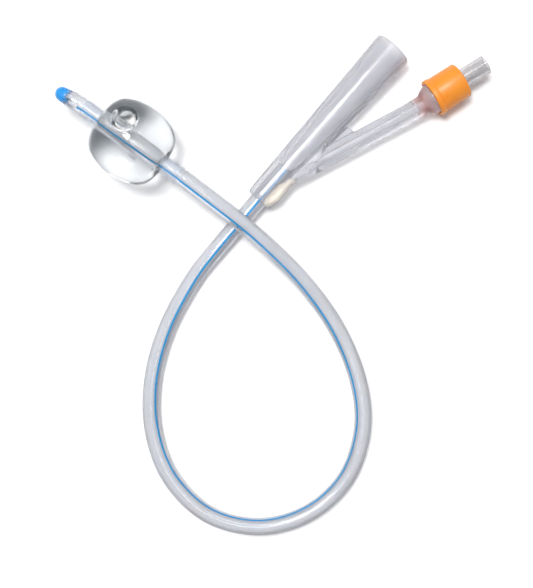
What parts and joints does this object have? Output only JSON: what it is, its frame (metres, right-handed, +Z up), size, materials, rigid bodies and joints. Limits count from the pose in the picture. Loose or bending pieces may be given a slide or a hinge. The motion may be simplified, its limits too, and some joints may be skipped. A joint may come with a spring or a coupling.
{
  "type": "foley urinary catheter",
  "caption": "Balloon urinary catheter: silicone tube in a loop, filled balloon and blue tip at one end, Y hub with drainage funnel and sprung inflation valve at the other.",
  "frame": {"origin": "on the table, under the middle of the box round hub, valve, balloon and tip; the shaft's loop is left out of that box", "axes": "+X along the drainage funnel in plan, towards its mouth; +Z up; +Y across, towards the balloon's side"},
  "size_m": [0.1659, 0.1492, 0.0248],
  "materials": {
    "clear_silicone": "gloss",
    "blue_silicone": "gloss",
    "balloon_silicone": "gloss",
    "water": "gloss",
    "hub_silicone": "satin",
    "clear_plastic": "gloss",
    "white_plastic": "satin",
    "seal_rubber": "matte",
    "spring_steel": "satin",
    "orange_silicone": "satin"
  },
  "bodies": {
    "catheter": {"shaft": "clear_silicone", "tip": "blue_silicone", "balloon": "balloon_silicone", "water_fill": "water", "hub": "hub_silicone", "valve_base": "clear_plastic", "valve_body": "clear_plastic", "valve_spring": "spring_steel", "colour_sleeve": "orange_silicone"},
    "plunger": {"valve_stem": "white_plastic", "valve_seal": "seal_rubber"}
  },
  "joints": [
    {"name": "plunger_slide", "type": "slide", "parent": "catheter", "child": "plunger", "axis": [-0.9623, 0.2706, -0.0289], "range_m": [0, 0.0018], "stiffness_N_per_m": 400, "springref_m": -0.0015, "deforming": ["valve_spring"]}
  ]
}
